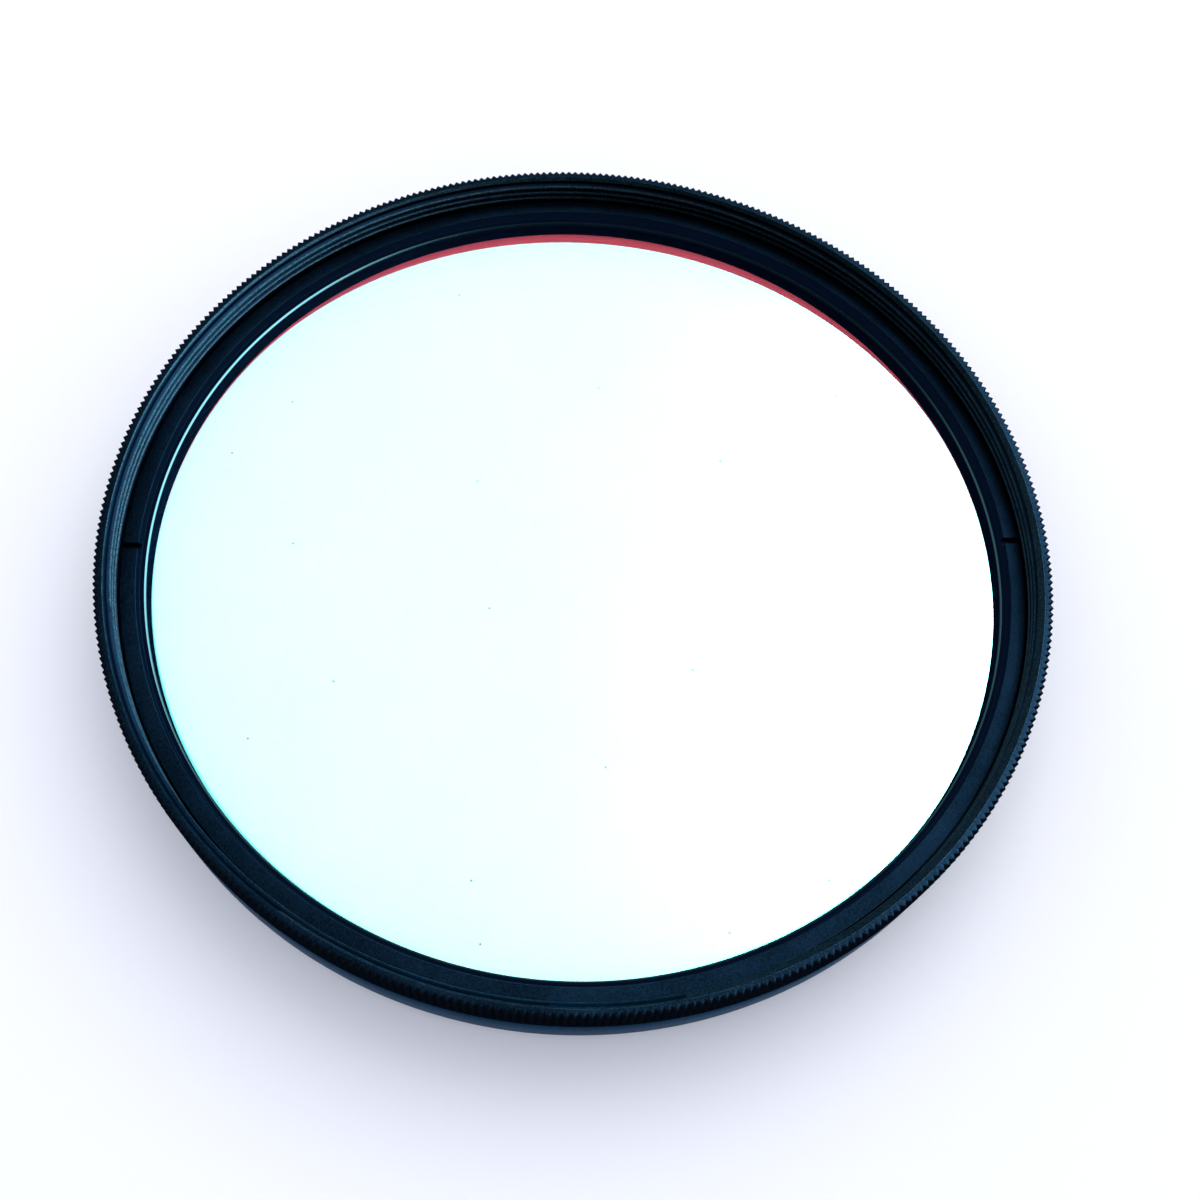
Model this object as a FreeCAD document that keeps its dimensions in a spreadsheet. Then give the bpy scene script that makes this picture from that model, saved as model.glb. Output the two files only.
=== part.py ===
# Screw-in H-alpha filter: a turned and knurled cell, a coated glass and the ring that holds it in.
# Millimetres. The axis is +Z, the front faces up, the rear thread stands on Z = 0 and the ring's slots lie along X.
import FreeCAD, Part
import math
import os

import Sketcher

doc = FreeCAD.newDocument("h_alpha_filter")

# Driving dimensions
SIZES = [
    ("outside_diameter", 84.0, "plain band below the knurl"),
    ("body_height", 7.65, "rear shoulder to front face"),
    ("knurl_height", 3.3, "front face to the foot of the grooves"),
    ("knurl_teeth", 408, "straight teeth round the rim"),
    ("knurl_depth", 0.32, "crest to root, half the spacing for a right-angled groove"),
    ("knurl_drop", 0.02, "crests below the plain band, on the radius"),
    ("band_bevel", 0.2, "bevel under the plain band"),
    ("rim_wall", 1.4, "plain band to the core of the front thread, 82 x 0.75, on the radius"),
    ("mouth_bevel", 0.6, "lead-in at the front thread's mouth"),
    ("run_out_depth", 0.45, "run-out groove below the front thread, on the radius"),
    ("run_out_width", 0.9, "run-out groove below the front thread, along the axis"),
    ("thread_depth", 0.4, "front thread's core to the rear thread's outside, on the radius"),
    ("rear_thread_height", 2.4, "rear face to shoulder"),
    ("rear_lead", 0.3, "lead-in on the rear thread"),
    ("relief_depth", 0.5, "run-out groove above the rear thread, on the radius"),
    ("relief_width", 0.6, "run-out groove above the rear thread, along the axis"),
    ("seat_width", 1.25, "seat under the edge of the glass, on the radius"),
    ("rear_bevel", 0.3, "bevel on the clear opening's rear edge"),
    ("glass_thickness", 2.5, "coated glass"),
    ("glass_bevel", 0.2, "ground bevel on both rims of the glass"),
    ("glass_clearance", 0.1, "glass to pocket wall, on the radius"),
    ("pocket_ledge", 0.65, "glass pocket to the ring's bore, on the radius"),
    ("pocket_drop", 0.15, "pocket's rim below the front of the glass"),
    ("ring_depth", 2.8, "front face to the ring's face"),
    ("ring_thickness", 2.05, "retaining ring"),
    ("ring_step", 0.1, "front thread's core to the bore that the ring is screwed into, on the radius"),
    ("ring_clearance", 0.05, "ring to its bore, on the radius"),
    ("ring_edge_bevel", 0.05, "bevel round the ring's face"),
    ("ring_overlap", 1.2, "lip over the edge of the glass, on the radius"),
    ("ring_flare_width", 0.58, "flare above the lip, on the radius"),
    ("ring_flare_depth", 1.1, "flare above the lip, along the axis"),
    ("ring_lip_height", 0.15, "plain lip below the flare"),
    ("ring_undercut", 0.45, "relief under the lip, on the radius"),
    ("slot_width", 0.6, "spanner slots"),
    ("slot_depth", 0.6, "spanner slots"),
]

sheet = doc.addObject("Spreadsheet::Sheet", "sizes")
for row, (alias, value, note) in enumerate(SIZES, start=1):
    sheet.set(f"A{row}", alias)
    sheet.set(f"B{row}", str(value))
    sheet.set(f"C{row}", note)
    sheet.setAlias(f"B{row}", alias)
doc.recompute()

# Radii, from the outside in, and heights that several pieces share, worked out from the sheet
OUTSIDE = "sizes.outside_diameter / 2"
BORE = f"({OUTSIDE} - sizes.rim_wall)"
RING_BORE = f"({BORE} - sizes.ring_step)"
POCKET = f"({RING_BORE} - sizes.pocket_ledge)"
GLASS = f"({POCKET} - sizes.glass_clearance)"
FRONT_FACE = "(sizes.rear_thread_height + sizes.body_height)"
RING_FACE = f"({FRONT_FACE} - sizes.ring_depth)"
GLASS_FRONT = f"({RING_FACE} - sizes.ring_thickness)"
SEAT = f"({GLASS_FRONT} - sizes.glass_thickness)"
KNURL_FOOT = f"({FRONT_FACE} - sizes.knurl_height)"


def new_body(label):
    """A piece, with its own label."""
    body = doc.addObject("PartDesign::Body", label)
    body.Label = label
    return body


def new_sketch(body, name, role):
    """A sketch on one of the piece's own planes."""
    plane = next(feature for feature in body.Origin.OriginFeatures if feature.Role == role)
    sketch = body.newObject("Sketcher::SketchObject", name)
    sketch.AttachmentSupport = [(plane, "")]
    sketch.MapMode = "FlatFace"
    return sketch


def draw_outline(sketch, corners):
    """Close a ring of straight lines and tie every corner (across, along) to the sheet."""
    spots = [FreeCAD.Vector(*(float(sheet.evalExpression(place)) for place in corner)) for corner in corners]
    for start, end in zip(spots, spots[1:] + spots[:1]):
        sketch.addGeometry(Part.LineSegment(start, end), False)
    last = len(corners) - 1
    for index, (across, along) in enumerate(corners):
        sketch.addConstraint(Sketcher.Constraint("Coincident", index - 1 if index else last, 2, index, 1))
        for kind, place, axis in (("DistanceX", across, -2), ("DistanceY", along, -1)):
            if place == "0":
                sketch.addConstraint(Sketcher.Constraint("PointOnObject", index, 1, axis))
                continue
            value = float(sheet.evalExpression(place))
            datum = sketch.addConstraint(Sketcher.Constraint(kind, -1, 1, index, 1, value))
            sketch.setExpression(f"Constraints[{datum}]", place)


def turn(body, name, corners):
    """Turn a half section (radius, height) about the axis."""
    section = new_sketch(body, f"{name}_section", "XZ_Plane")
    draw_outline(section, corners)
    solid = body.newObject("PartDesign::Revolution", name)
    solid.Profile = section
    solid.ReferenceAxis = (section, ["V_Axis"])
    solid.Angle = 360
    doc.recompute()
    return solid


def cut_down(body, name, corners, height, depth):
    """Cut an outline into the piece, from a height downwards."""
    outline = new_sketch(body, f"{name}_outline", "XY_Plane")
    outline.setExpression("AttachmentOffset.Base.z", height)
    draw_outline(outline, corners)
    before = body.Shape.Volume
    cut = body.newObject("PartDesign::Pocket", name)
    cut.Profile = outline
    cut.setExpression("Length", depth)
    doc.recompute()
    if not cut.Shape.Volume < before:
        raise RuntimeError(f"{name} cuts nothing")
    return cut


def make_blank():
    """Turned blank of the cell: rear thread, shoulder, plain rim, front bore, glass pocket and seat."""
    blank = new_body("cell_blank")
    thread = f"{BORE} + sizes.thread_depth"
    relief = f"{thread} - sizes.relief_depth"
    opening = f"{GLASS} - sizes.seat_width"
    run_out = f"{BORE} + sizes.run_out_depth"
    run_out_foot = f"{RING_FACE} - sizes.run_out_width"
    pocket_rim = f"{GLASS_FRONT} - sizes.pocket_drop"
    shoulder = "sizes.rear_thread_height"
    turn(blank, "turned_blank", [
        (f"{opening} + sizes.rear_bevel", "0"),
        (f"{thread} - sizes.rear_lead", "0"),
        (thread, "sizes.rear_lead"),
        (thread, f"{shoulder} - sizes.relief_width"),
        (relief, f"{shoulder} - sizes.relief_width"),
        (relief, shoulder),
        (f"{OUTSIDE} - sizes.band_bevel", shoulder),
        (OUTSIDE, f"{shoulder} + sizes.band_bevel"),
        (OUTSIDE, FRONT_FACE),
        (f"{BORE} + sizes.mouth_bevel", FRONT_FACE),
        (BORE, f"{FRONT_FACE} - sizes.mouth_bevel"),
        (BORE, RING_FACE),
        (run_out, RING_FACE),
        (run_out, run_out_foot),
        (RING_BORE, run_out_foot),
        (RING_BORE, pocket_rim),
        (POCKET, pocket_rim),
        (POCKET, SEAT),
        (opening, SEAT),
        (opening, "sizes.rear_bevel"),
    ])
    return blank


def make_knurl_waste():
    """What the knurl's grooves take from the rim: a ring whose inside has a ridge for each groove."""
    teeth = round(sheet.knurl_teeth)
    crest = sheet.outside_diameter / 2 - sheet.knurl_drop
    root = crest - sheet.knurl_depth
    corners = []
    for step in range(2 * teeth):
        angle = math.pi * step / teeth
        radius = root if step % 2 else crest
        corners.append(FreeCAD.Vector(radius * math.cos(angle), radius * math.sin(angle), 0))
    teeth_outline = Part.makePolygon(corners + corners[:1])
    clear_of_rim = sheet.outside_diameter / 2 + sheet.knurl_depth
    outer_edge = Part.Circle(FreeCAD.Vector(0, 0, 0), FreeCAD.Vector(0, 0, 1), clear_of_rim).toShape()
    ring = Part.makeFace([Part.Wire(outer_edge), teeth_outline], "Part::FaceMakerBullseye")
    waste = doc.addObject("Part::Feature", "knurl_waste")
    waste.Shape = ring.extrude(FreeCAD.Vector(0, 0, sheet.knurl_height))
    waste.setExpression("Placement.Base.z", KNURL_FOOT)
    return waste


def make_cell():
    """The blank, less what the knurl's grooves take from its rim."""
    cell = doc.addObject("Part::Cut", "filter_cell")
    cell.Base = make_blank()
    cell.Tool = make_knurl_waste()
    doc.recompute()
    if not cell.Shape.Volume < cell.Base.Shape.Volume:
        raise RuntimeError("the knurl cuts nothing")
    return cell


def make_glass():
    """Flat round glass with both rims ground, lying on the cell's seat."""
    glass = new_body("filter_glass")
    turn(glass, "ground_glass", [
        ("0", "0"),
        (f"{GLASS} - sizes.glass_bevel", "0"),
        (GLASS, "sizes.glass_bevel"),
        (GLASS, "sizes.glass_thickness - sizes.glass_bevel"),
        (f"{GLASS} - sizes.glass_bevel", "sizes.glass_thickness"),
        ("0", "sizes.glass_thickness"),
    ])
    glass.setExpression("Placement.Base.z", SEAT)
    return glass


def make_ring():
    """Screwed ring on the glass: flared opening, undercut lip and two spanner slots on one line."""
    ring = new_body("retaining_ring")
    outside = f"{RING_BORE} - sizes.ring_clearance"
    lip = f"{GLASS} - sizes.ring_overlap"
    lip_top = "sizes.ring_thickness - sizes.ring_flare_depth"
    turn(ring, "turned_ring", [
        (f"{lip} + sizes.ring_undercut", "0"),
        (outside, "0"),
        (outside, "sizes.ring_thickness - sizes.ring_edge_bevel"),
        (f"{outside} - sizes.ring_edge_bevel", "sizes.ring_thickness"),
        (f"{lip} + sizes.ring_flare_width", "sizes.ring_thickness"),
        (lip, lip_top),
        (lip, f"{lip_top} - sizes.ring_lip_height"),
    ])
    side = "sizes.slot_width / 2"
    cut_down(ring, "spanner_slots", [
        (f"-{RING_BORE}", f"-{side}"),
        (RING_BORE, f"-{side}"),
        (RING_BORE, side),
        (f"-{RING_BORE}", side),
    ], "sizes.ring_thickness", "sizes.slot_depth")
    ring.setExpression("Placement.Base.z", GLASS_FRONT)
    return ring


pieces = [make_cell(), make_glass(), make_ring()]
doc.recompute()

failed = [item.Label for item in doc.Objects if {"Invalid", "Error"} & set(item.State)]
failed += [piece.Label for piece in pieces if piece.Shape.isNull() or not piece.Shape.isValid()]
if failed:
    raise RuntimeError(f"not built: {failed}")

os.makedirs("parts", exist_ok=True)
for piece in pieces:
    piece.Shape.exportStep(f"parts/{piece.Label}.step")
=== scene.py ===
import math

import bmesh
import bpy
from bpy.props import FloatProperty, FloatVectorProperty, IntProperty, PointerProperty
from bpy.types import Operator, Panel, PropertyGroup
from mathutils import Matrix, Vector


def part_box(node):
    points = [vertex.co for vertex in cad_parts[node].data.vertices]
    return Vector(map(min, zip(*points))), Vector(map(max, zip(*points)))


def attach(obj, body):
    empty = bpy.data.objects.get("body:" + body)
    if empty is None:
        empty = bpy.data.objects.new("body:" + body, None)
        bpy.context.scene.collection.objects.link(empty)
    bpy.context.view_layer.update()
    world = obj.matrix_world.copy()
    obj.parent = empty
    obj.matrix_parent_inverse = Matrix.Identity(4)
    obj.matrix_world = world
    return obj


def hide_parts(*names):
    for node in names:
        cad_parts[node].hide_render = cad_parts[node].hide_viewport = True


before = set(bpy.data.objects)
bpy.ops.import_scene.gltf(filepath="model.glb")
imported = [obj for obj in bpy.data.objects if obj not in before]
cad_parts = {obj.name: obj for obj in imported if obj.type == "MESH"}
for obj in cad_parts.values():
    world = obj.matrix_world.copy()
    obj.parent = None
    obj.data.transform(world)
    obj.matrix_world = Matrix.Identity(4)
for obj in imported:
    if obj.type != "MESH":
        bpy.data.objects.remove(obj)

bl_info = {
    "name": "H-Alpha Filter",
    "version": (1, 0, 0),
    "blender": (4, 5, 0),
    "location": "3D Viewport > Sidebar > Filter",
    "description": "Builds a screw-in solar filter: knurled cell, retaining ring and coated glass",
    "category": "Object",
}

MM = 0.001
TURN = 2 * math.pi
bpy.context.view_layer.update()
CELL_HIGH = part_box("filter_cell")[1]
RING_LOW, RING_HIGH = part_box("retaining_ring")
GLASS_LOW, GLASS_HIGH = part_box("filter_glass")

# flats of a 60 degree thread, as shares of its pitch: narrow at the major diameter and wide at the minor one
MAJOR_FLAT, MINOR_FLAT = 0.125, 0.25
# how far the dyed oxide is rubbed thin, for the edge_wear_and_root_shade attribute
FRESH, FACED, TOUCHED, EASED, BARED, RUBBED, MOST_RUBBED = 0.0, 0.004, 0.01, 0.02, 0.04, 0.05, 0.06
# the front thread's crests go past the most that shows, so that the wear spreads down their flanks
CREST_SPREAD = 0.4
# below zero the attribute stands for thread roots, where shade is painted in
ROOT_SHADE = -1.0
# edges that bend further than this are shaded as sharp ones
SHARP = math.radians(28)


def linear(colour):
    """An sRGB hex colour as linear red, green and blue."""
    shares = [int(colour[place:place + 2], 16) / 255 for place in (1, 3, 5)]
    return tuple(s / 12.92 if s <= 0.04045 else ((s + 0.055) / 1.055) ** 2.4 for s in shares)


def length(name, description, default):
    """A size in metres, shown in the scene's own units."""
    return FloatProperty(
        name=name, description=description, default=default, min=0.0,
        precision=5, subtype="DISTANCE", unit="LENGTH",
    )


def turned_by(name, description, degrees):
    """An angle, from its size in degrees."""
    return FloatProperty(
        name=name, description=description, default=math.radians(degrees), subtype="ANGLE", unit="ROTATION",
    )


def share(name, description, default):
    """A share of another size, from 0 to 1."""
    return FloatProperty(name=name, description=description, default=default, min=0.0, max=1.0, subtype="FACTOR")


def colour(name, description, default):
    """A colour, from its sRGB hex value."""
    return FloatVectorProperty(
        name=name, description=description, default=linear(default), min=0.0, max=1.0, size=3, subtype="COLOR",
    )


class FilterCellSettings(PropertyGroup):
    """Sizes and finish of the knurled cell"""

    outside: length("Outside radius", "Plain band below the knurl", CELL_HIGH[0])
    shoulder: length("Shoulder height", "Rear face to the shoulder under the plain band", 2.4 * MM)
    band_bevel: length("Band bevel", "Bevel under the plain band", 0.2 * MM)
    teeth: IntProperty(name="Teeth", description="Straight teeth of the knurl", default=408, min=3)
    knurl_height: length("Knurl height", "Front face to the foot of the grooves", 3.3 * MM)
    knurl_depth: length("Knurl depth", "Crest to root", 0.32 * MM)
    knurl_drop: length("Knurl drop", "Crests below the plain band", 0.02 * MM)
    knurl_bevel: length("Knurl bevel", "Rolled edge of the teeth at the front face, on the radius", 0.17 * MM)
    bevel_rise: share("Bevel rise", "Height of the teeth's rolled edge, as a share of its width", 0.4)
    tooth_crest: share("Tooth crest", "Crest of a tooth, as a share of the spacing", 0.07)
    groove_rise: share("Groove rise", "Rise of a groove's floor at its foot, as a share of its depth", 0.2)
    foot_drop: length("Foot drop", "Plain band's upper edge below the foot of the grooves", 0.06 * MM)
    foot_gap: length("Foot gap", "Crests' lower edge below the foot of the grooves", 0.01 * MM)
    edge_strip: length("Edge strip", "Strip beside a turned edge that is rubbed with it", 0.05 * MM)
    edge_round: length("Edge rounding", "Rounding of the plain band's lower edges", 0.03 * MM)
    pitch: length("Thread pitch", "Front and rear threads", 0.75 * MM)
    core: length("Front core radius", "Crests of the front thread", 40.6 * MM)
    front_depth: length("Front thread depth", "Crest to root", 0.42 * MM)
    front_start: length("Front thread start", "First root below the front face, where the thread leaves it", 0.42 * MM)
    thread_turn: turned_by("Thread turn", "Angle at which the front thread leaves the mouth", 141.3)
    mouth_bevel: length("Mouth bevel", "Lead-in at the front thread's mouth", 0.6 * MM)
    run_out: length("Run-out radius", "Groove below the front thread", 41.05 * MM)
    run_out_width: length("Run-out width", "Groove below the front thread", 0.9 * MM)
    ring_bore: length("Ring bore radius", "Wall that the retaining ring is screwed into", 40.5 * MM)
    pocket: length("Pocket radius", "Wall round the glass", 39.85 * MM)
    pocket_drop: length("Pocket drop", "Pocket's rim below the front of the glass", 0.15 * MM)
    seat_gap: length("Seat gap", "Hair between seat and glass that keeps the two faces apart", 0.02 * MM)
    opening: length("Opening radius", "Clear opening below the glass", 38.5 * MM)
    rear_bevel: length("Rear bevel", "Bevel on the clear opening's rear edge", 0.3 * MM)
    rear_thread: length("Rear thread radius", "Crests of the rear thread", 41.0 * MM)
    rear_depth: length("Rear thread depth", "Crest to root", 0.46 * MM)
    rear_start: length("Rear thread start", "First root above the rear face", 0.2 * MM)
    rear_lead: length("Rear lead-in", "Bevel at the start of the rear thread", 0.3 * MM)
    relief: length("Relief radius", "Groove above the rear thread", 40.5 * MM)
    relief_width: length("Relief width", "Groove above the rear thread", 0.6 * MM)
    anodised: colour("Anodised colour", "Dyed oxide all over the cell and the ring", "#05111D")
    knurled: colour("Knurl colour", "Dyed oxide on the teeth, where the tool leaves it matt", "#080D14")
    worn: colour("Worn colour", "Edges where the dyed oxide has rubbed thin", "#6A9FB4")


class FilterRingSettings(PropertyGroup):
    """Sizes of the retaining ring"""

    opening: length("Lip radius", "Clear opening of the ring", 38.45 * MM)
    flare_width: length("Flare width", "Flare above the lip, on the radius", 0.68 * MM)
    flare_depth: length("Flare depth", "Flare above the lip, along the axis", 1.1 * MM)
    shelf_width: length("Shelf width", "Shelf between the flare and the lip, on the radius", 0.52 * MM)
    shelf_height: length("Shelf height", "Shelf's outer edge above the lip", 0.3 * MM)
    shelf_edge: length("Shelf edge", "Rubbed outer edge of the shelf, on the radius", 0.04 * MM)
    shelf_dip: length("Shelf dip", "Fall of the shelf across its rubbed edge", 0.01 * MM)
    lip_height: length("Lip height", "Plain lip below the flare", 0.15 * MM)
    lip_nose: length("Lip nose", "Bright bevel of the lip, on the radius", 0.16 * MM)
    lip_round: length("Lip rounding", "Rounding below the lip's bevel", 0.02 * MM)
    undercut: length("Undercut", "Relief under the lip, on the radius", 0.45 * MM)
    edge_bevel: length("Edge bevel", "Bevel round the ring's face", 0.05 * MM)
    face_strip: length("Face strip", "Strip of the face that is rubbed with its bevel", 0.06 * MM)
    slot_width: length("Slot width", "Spanner slots", 0.6 * MM)
    slot_depth: length("Slot depth", "Spanner slots", 0.6 * MM)
    # the lip's teal is partly burnished metal under thin oxide and partly the coating's cyan reflection, painted into
    # its colour
    lip: colour("Lip colour", "Lip, burnished so that the metal shows through its thin oxide", "#33555C")
    matt: colour("Matt colour", "Dyed oxide on the flare and the shelf, blasted to mirror nothing", "#050F20")


class FilterGlassSettings(PropertyGroup):
    """Sizes and coating of the glass"""

    rim_bevel: length("Rim bevel", "Ground bevel on both rims", 0.2 * MM)
    coated: length("Coated radius", "Rear coating, which stops at the seat", 38.45 * MM)
    lit: length("Lit radius", "Light that comes up through the clear opening, seen from the front", 38.24 * MM)
    lit_drop: length("Lit drop", "Lit disc below the front of the glass", 0.35 * MM)
    mirrored: colour("Mirrored colour", "What the front coating reflects", "#7EFBFD")
    passed: colour("Passed colour", "What the front coating lets through", "#F4C8CC")
    body: colour("Glass colour", "Light inside the red-passing glass", "#DC838C")
    rear: colour("Rear colour", "What the rear coating lets through", "#C04048")


class FilterStageSettings(PropertyGroup):
    """Floor, light and camera"""

    floor: colour("Floor colour", "Plain pale floor", "#FAF9FE")
    fill: colour("Fill colour", "Even light from all round", "#ECF2FF")
    lamp_colour: colour("Lamp colour", "Light of the soft lamp", "#FFFDF4")
    lamp_power: FloatProperty(
        name="Lamp power", description="Soft lamp on the far side", default=1.2, min=0.0, unit="POWER",
    )
    lamp_azimuth: turned_by("Lamp azimuth", "Lamp's direction from the right of the view towards its far side", 70.0)
    lamp_elevation: turned_by("Lamp elevation", "Lamp's height above the floor", 55.0)
    lamp_distance: length("Lamp distance", "Lamp to the filter", 0.6)
    lamp_size: length("Lamp size", "Side of the square lamp", 0.52)
    glow_azimuth: turned_by("Glow azimuth", "Mirrored glow's direction from the right towards the far side", 23.4)
    glow_elevation: turned_by("Glow elevation", "Mirrored glow's height above the floor", 38.0)
    room_turn: turned_by("Room turn", "Turn of the room's bright half from straight ahead to the right", 12.0)
    heading: turned_by("Camera heading", "Turn of the view about the axis", -8.7)
    elevation: turned_by("Camera elevation", "Downward tilt of the view", 63.23)
    roll: turned_by("Camera roll", "Roll about the view", 7.29)
    place: FloatVectorProperty(
        name="Camera place", description="Where the camera stands",
        default=(-6.45 * MM, -57.73 * MM, CELL_HIGH[2] + 101.39 * MM), size=3, subtype="TRANSLATION", unit="LENGTH",
    )
    lens: FloatProperty(
        name="Lens", description="Focal length for a sensor 36 mm wide", default=39.6, min=1.0, unit="CAMERA",
    )


def node(tree, kind, links=(), **settings):
    """Add a node, set it up, and give its sockets values or links from (socket, value or output) pairs."""
    # a Map Range takes its value at 0, the range it comes in at 1 and 2, and the range it goes out in at 3 and 4
    # a colour Mix takes its share at 0 and its colours at 6 and 7, and gives its result at 2
    made = tree.nodes.new(kind)
    for name, value in settings.items():
        setattr(made, name, value)
    for socket, source in links:
        if isinstance(source, bpy.types.NodeSocket):
            tree.links.new(source, made.inputs[socket])
        else:
            made.inputs[socket].default_value = source
    return made


def new_material(name):
    """An empty node material and its tree."""
    material = bpy.data.materials.new(name)
    material.use_nodes = True
    material.node_tree.nodes.clear()
    return material, material.node_tree


def anodised_turned(cell):
    """Black anodised aluminium, turned: a near-black blue satin with fine lines, rubbed lighter on its edges, with
    painted shade in its thread roots.
    """
    material, tree = new_material("black_anodised_aluminium_turned")
    place = node(tree, "ShaderNodeTexCoord").outputs["Object"]
    across = node(tree, "ShaderNodeVectorMath", [(0, place), (1, (1, 1, 0))], operation="MULTIPLY")
    radius = node(tree, "ShaderNodeVectorMath", [(0, across.outputs[0])], operation="LENGTH")
    height = node(tree, "ShaderNodeSeparateXYZ", [(0, place)])
    # the tool's path runs along the radius on faces and along the height on walls, so their sum follows it on both
    path = node(tree, "ShaderNodeMath", [(0, radius.outputs["Value"]), (1, height.outputs["Z"])], operation="ADD")
    # turning lines 0.05 mm apart on the real ring are drawn 0.16 mm apart, so that they show
    wave = node(tree, "ShaderNodeMath", [(0, path.outputs[0]), (1, TURN / (0.16 * MM))], operation="MULTIPLY")
    lines = node(tree, "ShaderNodeMath", [(0, wave.outputs[0])], operation="SINE")
    # pores of the oxide, drawn 0.12 mm wide, so that they show
    pores = node(tree, "ShaderNodeTexNoise", [
        ("Vector", place), ("Scale", 1 / (0.12 * MM)), ("Detail", 3.0), ("Roughness", 0.6)])
    # patches of the dye bath, about 6 mm wide
    patches = node(tree, "ShaderNodeTexNoise", [("Vector", place), ("Scale", 1 / (6 * MM)), ("Detail", 2.0)])
    wear = node(tree, "ShaderNodeAttribute", attribute_name="edge_wear_and_root_shade")
    # rubbing thins the oxide only so far, and takes it off in specks
    thinned = node(tree, "ShaderNodeMath", [(0, wear.outputs["Fac"]), (1, MOST_RUBBED)], operation="MINIMUM")
    specks = node(tree, "ShaderNodeMapRange", [(0, pores.outputs[0]), (1, 0.42), (2, 0.72), (3, 0.3), (4, 2.4)])
    rubbed = node(
        tree, "ShaderNodeMath", [(0, thinned.outputs[0]), (1, specks.outputs[0])],
        operation="MULTIPLY", use_clamp=True)
    mottle = node(
        tree, "ShaderNodeMath", [(0, patches.outputs[0]), (1, 0.35), (2, pores.outputs[0])], operation="MULTIPLY_ADD")
    depth = node(tree, "ShaderNodeMapRange", [(0, mottle.outputs[0]), (1, 0.5), (2, 0.85), (3, 0.0), (4, 1.0)])
    deep = [channel * 0.5 for channel in cell.anodised]
    pale = [channel * 2.0 for channel in cell.anodised]
    dye = node(tree, "ShaderNodeMix", [
        (0, depth.outputs[0]), (6, (*deep, 1)), (7, (*pale, 1))], data_type="RGBA")
    # below zero the attribute stands for thread roots, where painted shade darkens the dye to near-black
    root_shade = node(tree, "ShaderNodeMapRange", [(0, wear.outputs["Fac"]), (1, -0.8), (2, -0.4), (3, 1.0), (4, 0.0)])
    shaded_dye = node(tree, "ShaderNodeMix", [
        (0, root_shade.outputs[0]), (6, dye.outputs[2]), (7, (*linear("#01030A"), 1))], data_type="RGBA")
    skin = node(tree, "ShaderNodeMix", [
        (0, rubbed.outputs[0]), (6, shaded_dye.outputs[2]), (7, (*cell.worn, 1))], data_type="RGBA")
    gloss = node(tree, "ShaderNodeMapRange", [(0, pores.outputs[0]), (1, 0.3), (2, 0.7), (3, 0.36), (4, 0.5)])
    lay = node(
        tree, "ShaderNodeMath", [(0, lines.outputs[0]), (1, 0.25), (2, pores.outputs[0])], operation="MULTIPLY_ADD")
    relief = node(tree, "ShaderNodeBump", [("Strength", 0.35), ("Distance", 0.01 * MM), ("Height", lay.outputs[0])])
    # the dye also holds back the glare along the surface, and leaves it blue
    shader = node(tree, "ShaderNodeBsdfPrincipled", [
        ("Base Color", skin.outputs[2]), ("Metallic", 1.0), ("Roughness", gloss.outputs[0]),
        ("Specular Tint", (*linear("#B4CDE8"), 1)), ("Normal", relief.outputs[0])])
    node(tree, "ShaderNodeOutputMaterial", [("Surface", shader.outputs[0])])
    return material


def anodised_matt(name, dyed, worn):
    """Black anodised aluminium, knurled or blasted: a matt skin that is all but black, paler where it is rubbed."""
    material, tree = new_material(name)
    place = node(tree, "ShaderNodeTexCoord").outputs["Object"]
    # grain of the torn or blasted metal, drawn 0.1 mm wide, so that it shows
    grain = node(tree, "ShaderNodeTexNoise", [("Vector", place), ("Scale", 1 / (0.1 * MM)), ("Detail", 3.0)])
    wear = node(tree, "ShaderNodeAttribute", attribute_name="edge_wear_and_root_shade")
    rubbed = node(
        tree, "ShaderNodeMath", [(0, wear.outputs["Fac"]), (1, grain.outputs[0])],
        operation="MULTIPLY", use_clamp=True)
    skin = node(tree, "ShaderNodeMix", [
        (0, rubbed.outputs[0]), (6, (*dyed, 1)), (7, (*worn, 1))], data_type="RGBA")
    gloss = node(tree, "ShaderNodeMapRange", [(0, grain.outputs[0]), (1, 0.3), (2, 0.7), (3, 0.6), (4, 0.8)])
    relief = node(tree, "ShaderNodeBump", [("Strength", 0.4), ("Distance", 0.01 * MM), ("Height", grain.outputs[0])])
    shader = node(tree, "ShaderNodeBsdfPrincipled", [
        ("Base Color", skin.outputs[2]), ("Roughness", gloss.outputs[0]), ("Specular IOR Level", 0.0),
        ("Normal", relief.outputs[0])])
    node(tree, "ShaderNodeOutputMaterial", [("Surface", shader.outputs[0])])
    return material


def anodised_burnished_painted_cyan(ring):
    """Anodised aluminium, burnished: a thin bright line round the opening, with the coating's cyan reflection painted
    into its colour.
    """
    material, tree = new_material("anodised_aluminium_burnished_painted_cyan")
    place = node(tree, "ShaderNodeTexCoord").outputs["Object"]
    # scratches of the burnishing tool, drawn 0.1 mm wide, so that they show
    scratches = node(tree, "ShaderNodeTexNoise", [("Vector", place), ("Scale", 1 / (0.1 * MM)), ("Detail", 2.0)])
    gloss = node(tree, "ShaderNodeMapRange", [(0, scratches.outputs[0]), (1, 0.3), (2, 0.7), (3, 0.14), (4, 0.28)])
    # the lip colour holds a painted cyan reflection of the coating
    shader = node(tree, "ShaderNodeBsdfPrincipled", [
        ("Base Color", (*ring.lip, 1)), ("Metallic", 1.0), ("Roughness", gloss.outputs[0])])
    node(tree, "ShaderNodeOutputMaterial", [("Surface", shader.outputs[0])])
    return material


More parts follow.
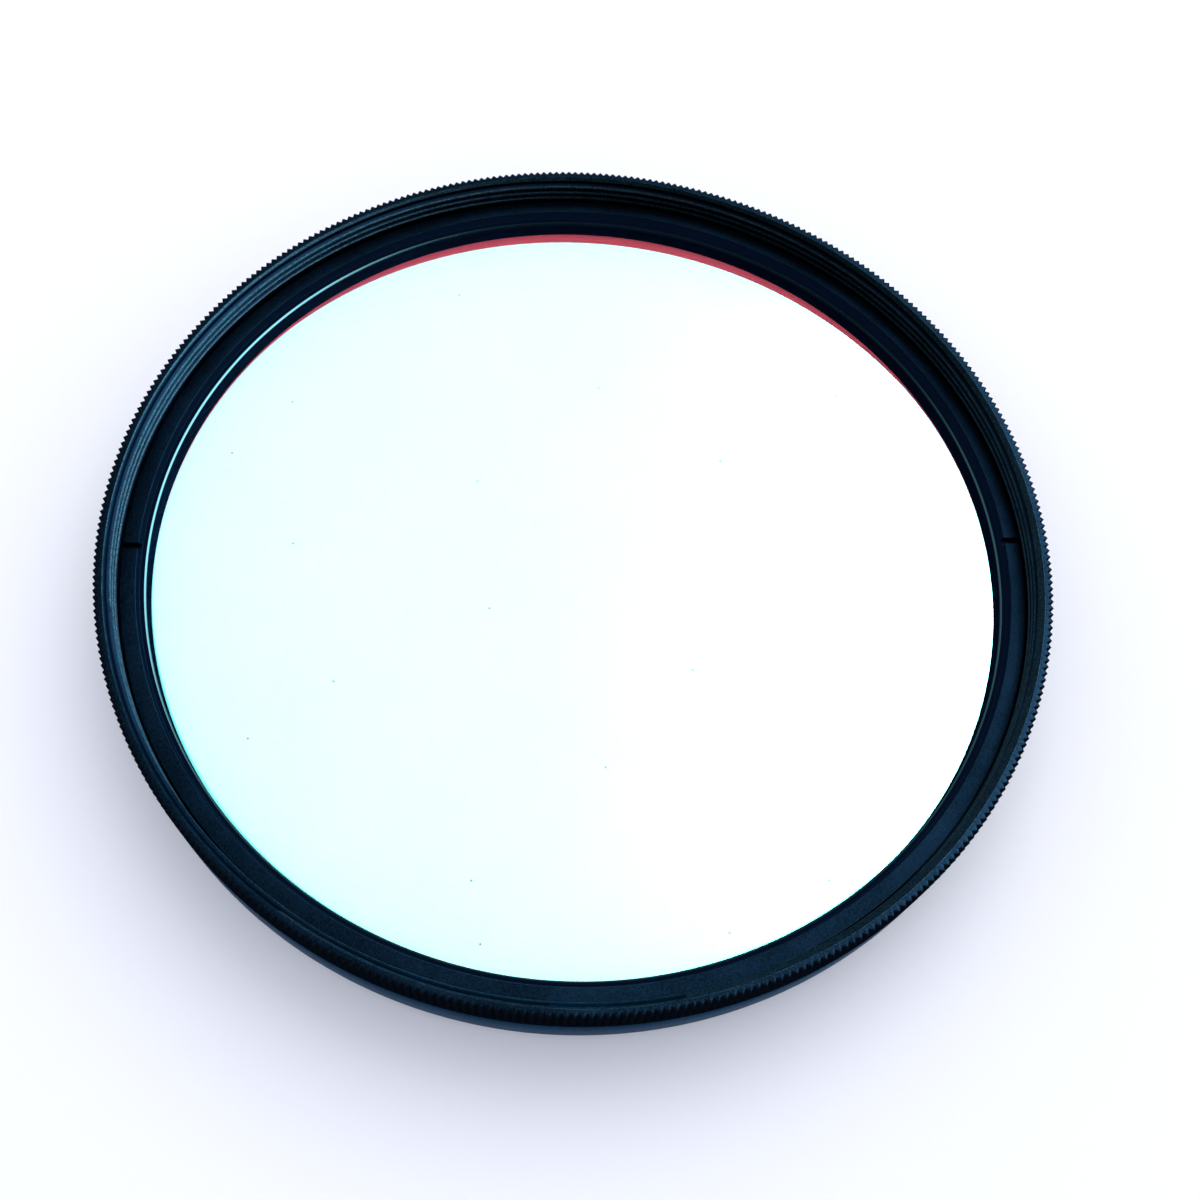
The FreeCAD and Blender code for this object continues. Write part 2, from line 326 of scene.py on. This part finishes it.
def coated_mirror(glass):
    """Dichroic coating on polished glass: a pale cyan mirror that lets deep red through."""
    material, tree = new_material("dichroic_coating_on_polished_glass")
    place = node(tree, "ShaderNodeTexCoord").outputs["Object"]
    # settled dust, one grain about 0.2 mm wide to each 16 mm or so
    grains = node(
        tree, "ShaderNodeTexVoronoi", [("Vector", place), ("Scale", 1 / (16 * MM))], voronoi_dimensions="2D")
    dust = node(tree, "ShaderNodeMapRange", [
        (0, grains.outputs["Distance"]), (1, 0.004), (2, 0.008), (3, 0.7), (4, 0.0)])
    # a breath of haze in patches about 15 mm wide
    haze = node(tree, "ShaderNodeTexNoise", [("Vector", place), ("Scale", 1 / (15 * MM)), ("Detail", 2.0)])
    gloss = node(tree, "ShaderNodeMapRange", [(0, haze.outputs[0]), (1, 0.3), (2, 0.7), (3, 0.01), (4, 0.03)])
    mirror = node(tree, "ShaderNodeBsdfPrincipled", [
        ("Base Color", (*glass.mirrored, 1)), ("Metallic", 1.0), ("Roughness", gloss.outputs[0])])
    window = node(tree, "ShaderNodeBsdfTransparent", [("Color", (*glass.passed, 1))])
    coat = node(tree, "ShaderNodeAddShader", [(0, mirror.outputs[0]), (1, window.outputs[0])])
    speck = node(tree, "ShaderNodeBsdfDiffuse", [("Color", (*linear("#4A5256"), 1))])
    surface = node(tree, "ShaderNodeMixShader", [(0, dust.outputs[0]), (1, coat.outputs[0]), (2, speck.outputs[0])])
    node(tree, "ShaderNodeOutputMaterial", [("Surface", surface.outputs[0])])
    return material


def coated_window(glass):
    """Narrow-band coating on polished glass: a dark red window with a weak sheen."""
    material, tree = new_material("narrow_band_coating_on_polished_glass")
    place = node(tree, "ShaderNodeTexCoord").outputs["Object"]
    # a breath of haze in patches about 15 mm wide
    haze = node(tree, "ShaderNodeTexNoise", [("Vector", place), ("Scale", 1 / (15 * MM)), ("Detail", 2.0)])
    gloss = node(tree, "ShaderNodeMapRange", [(0, haze.outputs[0]), (1, 0.3), (2, 0.7), (3, 0.02), (4, 0.05)])
    sheen = node(tree, "ShaderNodeBsdfPrincipled", [
        ("Base Color", (*linear("#34181F"), 1)), ("Metallic", 1.0), ("Roughness", gloss.outputs[0])])
    window = node(tree, "ShaderNodeBsdfTransparent", [("Color", (*glass.rear, 1))])
    surface = node(tree, "ShaderNodeAddShader", [(0, sheen.outputs[0]), (1, window.outputs[0])])
    node(tree, "ShaderNodeOutputMaterial", [("Surface", surface.outputs[0])])
    return material


def lit_body(glass):
    """Red-passing glass, lit from below: an even red with faint striae, which the coating's cyan turns white."""
    material, tree = new_material("red_passing_glass_lit")
    place = node(tree, "ShaderNodeTexCoord").outputs["Object"]
    # striae of the melt, about 9 mm wide
    striae = node(tree, "ShaderNodeTexNoise", [("Vector", place), ("Scale", 1 / (9 * MM)), ("Detail", 2.0)])
    dim = [channel * 0.92 for channel in glass.body]
    tone = node(tree, "ShaderNodeMix", [
        (0, striae.outputs[0]), (6, (*dim, 1)), (7, (*glass.body, 1))], data_type="RGBA")
    shader = node(tree, "ShaderNodeBsdfPrincipled", [
        ("Base Color", tone.outputs[2]), ("Roughness", 0.9), ("Specular IOR Level", 0.0)])
    node(tree, "ShaderNodeOutputMaterial", [("Surface", shader.outputs[0])])
    return material


def inked_rim():
    """Ground glass, inked: a dead black edge that keeps stray light out of the glass."""
    material, tree = new_material("black_ink_on_ground_glass")
    place = node(tree, "ShaderNodeTexCoord").outputs["Object"]
    # strokes of the ink, drawn 0.4 mm wide, so that they show
    strokes = node(tree, "ShaderNodeTexNoise", [("Vector", place), ("Scale", 1 / (0.4 * MM)), ("Detail", 2.0)])
    tone = node(tree, "ShaderNodeMix", [
        (0, strokes.outputs[0]), (6, (*linear("#040506"), 1)), (7, (*linear("#0E1013"), 1))], data_type="RGBA")
    shader = node(tree, "ShaderNodeBsdfPrincipled", [
        ("Base Color", tone.outputs[2]), ("Roughness", 0.8), ("Specular IOR Level", 0.1)])
    node(tree, "ShaderNodeOutputMaterial", [("Surface", shader.outputs[0])])
    return material


def thread_cut(turns, crest, root):
    """How deep a thread is, from 0 at its crest to 1 at its root, a number of turns from the middle of a root."""
    off = abs((turns + 0.5) % 1.0 - 0.5)
    return min(1.0, max(0.0, (0.5 - crest / 2 - off) / (0.5 - crest / 2 - root / 2)))


def thread_wear_and_root_shade(crest, cut):
    """Wear of a thread, from that of its crest down to the painted shade in its root."""
    return crest + (ROOT_SHADE - crest) * cut


def thread_rows(low, high, pitch, start, angle, crest, root):
    """Heights of the rows that follow a thread's corners from low to high, at one angle round the axis."""
    flank = 0.5 - crest / 2
    corners = (0.0, root / 2, flank, 0.5, 1 - flank, 1 - root / 2)
    first = math.floor((low - start) / pitch) - 1
    last = math.ceil((high - start) / pitch)
    turned = angle / TURN
    rows = [start + pitch * (turn + corner + turned) for turn in range(first, last + 1) for corner in corners]
    return [min(high, max(low, row)) for row in rows]


def turned_mesh(name, columns):
    """Skin a closed section, given at each column round the axis as (angle, radius, height, wear, finish) corners,
    where a wear below zero is painted shade.
    """
    rows = len(columns[0])
    spots = [(r * math.cos(a), r * math.sin(a), h) for column in columns for a, r, h, *_ in column]
    faces = []
    for start in range(0, (len(columns) - 1) * rows, rows):
        for row in range(rows):
            after = (row + 1) % rows
            faces.append((start + row, start + rows + row, start + rows + after, start + after))
    mesh = bpy.data.meshes.new(name)
    mesh.from_pydata(spots, [], faces)
    wear = mesh.attributes.new("edge_wear_and_root_shade", "FLOAT", "POINT")
    wear.data.foreach_set("value", [corner[3] for column in columns for corner in column])
    finishes = [corner[4] for corner in columns[0]]
    mesh.polygons.foreach_set("material_index", finishes * (len(columns) - 1))
    work = bmesh.new()
    work.from_mesh(mesh)
    # the last column closes on the first, and rows squeezed together at a thread's ends become one
    same_spot, no_length = 1e-7, 1e-8
    bmesh.ops.remove_doubles(work, verts=work.verts, dist=same_spot)
    bmesh.ops.dissolve_degenerate(work, edges=work.edges, dist=no_length)
    bmesh.ops.recalc_face_normals(work, faces=work.faces)
    work.to_mesh(mesh)
    work.free()
    mesh.shade_smooth()
    mesh.set_sharp_from_angle(angle=SHARP)
    return mesh


def place_piece(name, mesh, node_name, materials):
    """Show a mesh as a piece that stands for its CAD node."""
    if not mesh.polygons:
        raise RuntimeError(f"{name} has no faces")
    for material in materials:
        mesh.materials.append(material)
    piece = bpy.data.objects.new(name, mesh)
    bpy.context.collection.objects.link(piece)
    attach(piece, "root")
    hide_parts(node_name)
    return piece


class FILTER_OT_add_cell(Operator):
    """Build the cell: knurled rim, plain band, both threads, glass pocket and seat"""

    bl_idname = "filter.add_cell"
    bl_label = "Add Cell"

    def section(self, cell, angle, radius):
        """The cell's section at one angle, with that radius at its rim, as corners for turned_mesh."""
        turned, knurled = 0, 1
        front = CELL_HIGH[2]
        ring_face = RING_HIGH[2]
        seat = GLASS_LOW[2] - cell.seat_gap
        rim = GLASS_HIGH[2] - cell.pocket_drop
        foot = front - cell.knurl_height
        crest = cell.outside - cell.knurl_drop
        band = cell.outside - cell.band_bevel
        band_foot = cell.shoulder + cell.band_bevel
        corners = [(cell.opening + cell.rear_bevel, 0.0, BARED, turned)]
        # rear thread, with its lead-in
        start = cell.rear_start
        relief_foot = cell.shoulder - cell.relief_width
        for height in thread_rows(0.0, relief_foot, cell.pitch, start, angle, MAJOR_FLAT, MINOR_FLAT):
            # the thread's roots get painted shade through the attribute
            cut = thread_cut((height - start) / cell.pitch - angle / TURN, MAJOR_FLAT, MINOR_FLAT)
            outer = min(cell.rear_thread - cell.rear_depth * cut, cell.rear_thread - cell.rear_lead + height)
            corners.append((outer, height, thread_wear_and_root_shade(RUBBED, cut), turned))
        # relief, shoulder, plain band, teeth and front face
        corners += [
            (cell.relief, relief_foot, FRESH, turned),
            (cell.relief, cell.shoulder, FRESH, turned),
            (band - cell.edge_strip, cell.shoulder, TOUCHED, turned),
            (band + cell.edge_round, cell.shoulder + cell.edge_round, RUBBED, turned),
            (cell.outside - cell.edge_round, band_foot - cell.edge_round, RUBBED, turned),
            (cell.outside, band_foot + cell.edge_strip, TOUCHED, turned),
            (cell.outside, foot - cell.foot_drop, TOUCHED, turned),
            (crest, foot - cell.foot_gap, TOUCHED, knurled),
            (radius, foot + cell.groove_rise * (crest - radius), FRESH, knurled),
            (radius, front - cell.bevel_rise * cell.knurl_bevel, FRESH, knurled),
            (radius - cell.knurl_bevel, front, FACED, turned),
            (cell.core + cell.mouth_bevel + cell.edge_strip, front, FACED, turned),
        ]
        # front thread, which starts in the mouth's bevel
        start = front - cell.front_start - cell.pitch * cell.thread_turn / TURN
        for height in reversed(thread_rows(ring_face, front, cell.pitch, start, angle, MINOR_FLAT, MAJOR_FLAT)):
            # the thread's roots get painted shade through the attribute
            cut = thread_cut((height - start) / cell.pitch - angle / TURN, MINOR_FLAT, MAJOR_FLAT)
            mouth = cell.core + cell.mouth_bevel - (front - height)
            inner = max(cell.core + cell.front_depth * cut, mouth)
            wear = thread_wear_and_root_shade(CREST_SPREAD, cut) if inner > mouth else MOST_RUBBED
            corners.append((inner, height, wear, turned))
        # run-out groove, ring's bore, glass pocket, seat and clear opening
        corners += [
            (cell.run_out, ring_face, FRESH, turned),
            (cell.run_out, ring_face - cell.run_out_width, FRESH, turned),
            (cell.ring_bore, ring_face - cell.run_out_width, FRESH, turned),
            (cell.ring_bore, rim, FRESH, turned),
            (cell.pocket, rim, FRESH, turned),
            (cell.pocket, seat, FRESH, turned),
            (cell.opening, seat, EASED, turned),
            (cell.opening, cell.rear_bevel, BARED, turned),
        ]
        return [(angle, *corner) for corner in corners]

    def execute(self, context):
        cell = context.scene.filter_cell
        crest = cell.outside - cell.knurl_drop
        root = crest - cell.knurl_depth
        columns = []
        # each tooth has a narrow flat crest, and a sharp root midway to the next
        tooth_columns = ((0.0, crest), (cell.tooth_crest, crest), ((1 + cell.tooth_crest) / 2, root))
        for tooth in range(cell.teeth):
            for along, radius in tooth_columns:
                columns.append(self.section(cell, TURN * (tooth + along) / cell.teeth, radius))
        columns.append(self.section(cell, TURN, crest))
        mesh = turned_mesh("filter_cell_turned", columns)
        place_piece(
            "filter_cell_look", mesh, "filter_cell",
            [anodised_turned(cell), anodised_matt("black_anodised_aluminium_knurled", cell.knurled, cell.worn)])
        return {"FINISHED"}


class FILTER_OT_add_ring(Operator):
    """Build the retaining ring, with its bright lip and its two spanner slots"""

    bl_idname = "filter.add_ring"
    bl_label = "Add Ring"

    def execute(self, context):
        cell = context.scene.filter_cell
        ring = context.scene.filter_ring
        turned, burnished, matt = 0, 1, 2
        foot, face = RING_LOW[2], RING_HIGH[2]
        outside = RING_HIGH[0]
        lip_top = face - ring.flare_depth
        lip_foot = lip_top - ring.lip_height
        slot_floor = face - ring.slot_depth
        flare = ring.opening + ring.flare_width
        shelf = ring.opening + ring.shelf_width
        shelf_top = lip_top + ring.shelf_height
        nose = ring.opening + ring.lip_nose
        # the flare's upper edge is rounded in three rows, so many mm outside its corner and below the face
        rounding = ((0.07, 0.0, FRESH, turned), (0.02, 0.01, TOUCHED, turned), (-0.01, 0.05, FRESH, matt))
        corners = [
            (ring.opening + ring.undercut, foot, FRESH, turned),
            (outside, foot, FRESH, turned),
            (outside, face - ring.edge_bevel, FRESH, turned),
            (outside - ring.edge_bevel, face, EASED, turned),
            (outside - ring.edge_bevel - ring.face_strip, face, FRESH, turned),
            *((flare + out * MM, face - down * MM, wear, finish) for out, down, wear, finish in rounding),
            (shelf, shelf_top, TOUCHED, turned),
            (shelf - ring.shelf_edge, shelf_top - ring.shelf_dip, FRESH, matt),
            (nose, lip_top + ring.lip_nose, FRESH, burnished),
            (ring.opening + ring.lip_round, lip_top + ring.lip_round, FRESH, matt),
            (ring.opening, lip_foot, FRESH, matt),
        ]
        columns = []
        # columns in each half turn, and the angle that they keep from the middle of a slot
        steps, clear = 240, math.radians(0.8)
        half = ring.slot_width / 2
        for side in (0.0, math.pi):
            for way, cut in ((-1, False), (-1, True), (1, True), (1, False)):
                columns.append([
                    (side + way * math.asin(half / r), r, min(h, slot_floor) if cut else h, *rest)
                    for r, h, *rest in corners])
            for step in range(steps + 1):
                angle = side + clear + (math.pi - 2 * clear) * step / steps
                columns.append([(angle, *corner) for corner in corners])
        columns.append(columns[0])
        mesh = turned_mesh("retaining_ring_turned", columns)
        place_piece(
            "retaining_ring_look", mesh, "retaining_ring",
            [
                anodised_turned(cell),
                anodised_burnished_painted_cyan(ring),
                anodised_matt("black_anodised_aluminium_blasted", ring.matt, cell.worn),
            ])
        return {"FINISHED"}


class FILTER_OT_add_glass(Operator):
    """Build the coated glass, with ground rims"""

    bl_idname = "filter.add_glass"
    bl_label = "Add Glass"

    def execute(self, context):
        glass = context.scene.filter_glass
        front, rear, inked, lit = 0, 1, 2, 3
        foot, face = GLASS_LOW[2], GLASS_HIGH[2]
        outside = GLASS_HIGH[0]
        bevel = glass.rim_bevel
        levels = [
            (glass.coated, foot, inked),
            (outside - bevel, foot, inked),
            (outside, foot + bevel, inked),
            (outside, face - bevel, inked),
            (outside - bevel, face, front),
        ]
        count = 256
        turns = [TURN * step / count for step in range(count)]
        work = bmesh.new()
        loops = [[work.verts.new((r * math.cos(a), r * math.sin(a), h)) for a in turns] for r, h, _ in levels]
        for low, high, (_, _, finish) in zip(loops, loops[1:], levels):
            for step in range(count):
                after = (step + 1) % count
                work.faces.new((low[step], low[after], high[after], high[step])).material_index = finish
        work.faces.new(loops[-1]).material_index = front
        work.faces.new(loops[0][::-1]).material_index = rear
        # the light that comes up through the glass is drawn on a disc just under the coating
        level = face - glass.lit_drop
        disc = [work.verts.new((glass.lit * math.cos(a), glass.lit * math.sin(a), level)) for a in turns]
        work.faces.new(disc).material_index = lit
        mesh = bpy.data.meshes.new("filter_glass_ground")
        work.to_mesh(mesh)
        work.free()
        place_piece(
            "filter_glass_look", mesh, "filter_glass",
            [coated_mirror(glass), coated_window(glass), inked_rim(), lit_body(glass)])
        return {"FINISHED"}


def aim(azimuth, elevation):
    """The direction at an angle from +X towards +Y and at a height above the floor."""
    flat = math.cos(elevation)
    return Vector((flat * math.cos(azimuth), flat * math.sin(azimuth), math.sin(elevation)))


class FILTER_OT_add_stage(Operator):
    """Lay the floor, hang the lamp, light the surroundings and set the camera"""

    bl_idname = "filter.add_stage"
    bl_label = "Add Stage"

    def floor(self, context, stage):
        """A plain pale floor under the filter."""
        side = 1.5
        mesh = bpy.data.meshes.new("floor")
        mesh.from_pydata([(-side, -side, 0), (side, -side, 0), (side, side, 0), (-side, side, 0)], [], [(0, 1, 2, 3)])
        floor = bpy.data.objects.new("floor", mesh)
        context.collection.objects.link(floor)
        # matt board: one even pale colour
        material, tree = new_material("pale_board_matt")
        shader = node(tree, "ShaderNodeBsdfPrincipled", [("Base Color", (*stage.floor, 1)), ("Roughness", 0.9)])
        node(tree, "ShaderNodeOutputMaterial", [("Surface", shader.outputs[0])])
        mesh.materials.append(material)

    def lamp(self, context, stage, towards):
        """A soft square lamp, aimed at the filter."""
        data = bpy.data.lights.new("soft_lamp", "AREA")
        data.shape = "SQUARE"
        data.size = stage.lamp_size
        data.energy = stage.lamp_power
        data.color = stage.lamp_colour
        lamp = bpy.data.objects.new("soft_lamp", data)
        # metal and glass mirror the surroundings in its place
        lamp.visible_glossy = False
        spot = towards * stage.lamp_distance
        lamp.matrix_world = Matrix.Translation(spot) @ towards.to_track_quat("Z", "Y").to_matrix().to_4x4()
        context.collection.objects.link(lamp)

    def surroundings(self, context, stage, away, towards):
        """A white backdrop, an even fill, and what metal and glass mirror: a bright far half and a glow."""
        # strengths of what is mirrored: behind the camera, near the floor, round the glow and at its middle
        behind, low, beside, middle = 0.07, 0.3, 1.45, 9.0
        # how steeply the glow falls off from its middle
        fall = 6.0
        world = bpy.data.worlds.new("surroundings")
        world.use_nodes = True
        tree = world.node_tree
        tree.nodes.clear()
        white = (1, 1, 1, 1)
        heading = node(tree, "ShaderNodeTexCoord").outputs["Generated"]
        ahead = node(tree, "ShaderNodeVectorMath", [(0, heading), (1, away)], operation="DOT_PRODUCT")
        far_half = node(tree, "ShaderNodeMapRange", [
            (0, ahead.outputs["Value"]), (1, -0.35), (2, 0.12), (3, behind), (4, 1.0)],
            interpolation_type="SMOOTHSTEP")
        rise = node(tree, "ShaderNodeSeparateXYZ", [(0, heading)])
        upper = node(tree, "ShaderNodeMapRange", [
            (0, rise.outputs["Z"]), (1, 0.1), (2, 0.6), (3, low), (4, 1.0)], interpolation_type="SMOOTHSTEP")
        sky = node(tree, "ShaderNodeMath", [(0, far_half.outputs[0]), (1, upper.outputs[0])], operation="MULTIPLY")
        glowward = node(tree, "ShaderNodeVectorMath", [(0, heading), (1, towards)], operation="DOT_PRODUCT")
        spread = node(tree, "ShaderNodeMapRange", [
            (0, glowward.outputs["Value"]), (1, 0.44), (2, 0.8), (3, 1.0), (4, beside)])
        room = node(tree, "ShaderNodeMath", [(0, sky.outputs[0]), (1, spread.outputs[0])], operation="MULTIPLY")
        near = node(tree, "ShaderNodeMapRange", [
            (0, glowward.outputs["Value"]), (1, 0.5), (2, 0.88), (3, 0.0), (4, 1.0)])
        glow = node(tree, "ShaderNodeMath", [(0, near.outputs[0]), (1, fall)], operation="POWER")
        level = node(
            tree, "ShaderNodeMath", [(0, glow.outputs[0]), (1, middle), (2, room.outputs[0])],
            operation="MULTIPLY_ADD")
        mirrored = node(tree, "ShaderNodeBackground", [("Color", white), ("Strength", level.outputs[0])])
        fill = node(tree, "ShaderNodeBackground", [("Color", (*stage.fill, 1)), ("Strength", 1.0)])
        backdrop = node(tree, "ShaderNodeBackground", [("Color", white), ("Strength", 1.0)])
        rays = node(tree, "ShaderNodeLightPath").outputs
        seen = node(
            tree, "ShaderNodeMath", [(0, rays["Is Glossy Ray"]), (1, rays["Is Transmission Ray"])], operation="ADD",
            use_clamp=True)
        around = node(tree, "ShaderNodeMixShader", [
            (0, seen.outputs[0]), (1, fill.outputs[0]), (2, mirrored.outputs[0])])
        surface = node(tree, "ShaderNodeMixShader", [
            (0, rays["Is Camera Ray"]), (1, around.outputs[0]), (2, backdrop.outputs[0])])
        node(tree, "ShaderNodeOutputWorld", [("Surface", surface.outputs[0])])
        context.scene.world = world

    def camera(self, context, stage, turn):
        """A camera at the photograph's view."""
        data = bpy.data.cameras.new("camera")
        data.sensor_fit = "HORIZONTAL"
        data.sensor_width = 36.0
        data.lens = stage.lens
        data.clip_start = MM
        camera = bpy.data.objects.new("camera", data)
        tilt = Matrix.Rotation(math.pi / 2 - stage.elevation, 4, "X") @ Matrix.Rotation(stage.roll, 4, "Z")
        camera.matrix_world = Matrix.Translation(stage.place) @ turn @ tilt
        context.collection.objects.link(camera)
        context.scene.camera = camera

    def execute(self, context):
        stage = context.scene.filter_stage
        turn = Matrix.Rotation(stage.heading, 4, "Z")
        self.floor(context, stage)
        self.lamp(context, stage, turn @ aim(stage.lamp_azimuth, stage.lamp_elevation))
        away = turn @ aim(TURN / 4 - stage.room_turn, 0.0)
        towards = turn @ aim(stage.glow_azimuth, stage.glow_elevation)
        self.surroundings(context, stage, away, towards)
        self.camera(context, stage, turn)
        context.scene.view_settings.view_transform = "Standard"
        return {"FINISHED"}


class VIEW3D_PT_filter(Panel):
    """The filter's pieces, in the order in which they are built"""

    bl_label = "H-Alpha Filter"
    bl_space_type = "VIEW_3D"
    bl_region_type = "UI"
    bl_category = "Filter"

    def draw(self, context):
        for group, operator in STEPS:
            box = self.layout.box()
            settings = getattr(context.scene, group)
            for name in settings.bl_rna.properties.keys():
                if name not in ("rna_type", "name"):
                    box.prop(settings, name)
            box.operator(operator)


GROUPS = {
    "filter_cell": FilterCellSettings,
    "filter_ring": FilterRingSettings,
    "filter_glass": FilterGlassSettings,
    "filter_stage": FilterStageSettings,
}
STEPS = [
    ("filter_cell", "filter.add_cell"),
    ("filter_ring", "filter.add_ring"),
    ("filter_glass", "filter.add_glass"),
    ("filter_stage", "filter.add_stage"),
]
CLASSES = [
    *GROUPS.values(),
    FILTER_OT_add_cell,
    FILTER_OT_add_ring,
    FILTER_OT_add_glass,
    FILTER_OT_add_stage,
    VIEW3D_PT_filter,
]


def register():
    for item in CLASSES:
        bpy.utils.register_class(item)
    for name, group in GROUPS.items():
        setattr(bpy.types.Scene, name, PointerProperty(type=group))


def unregister():
    for name in GROUPS:
        delattr(bpy.types.Scene, name)
    for item in reversed(CLASSES):
        bpy.utils.unregister_class(item)


def main():
    """Build every piece and the stage."""
    register()
    bpy.ops.filter.add_cell()
    bpy.ops.filter.add_ring()
    bpy.ops.filter.add_glass()
    bpy.ops.filter.add_stage()


if __name__ == "__main__":
    main()
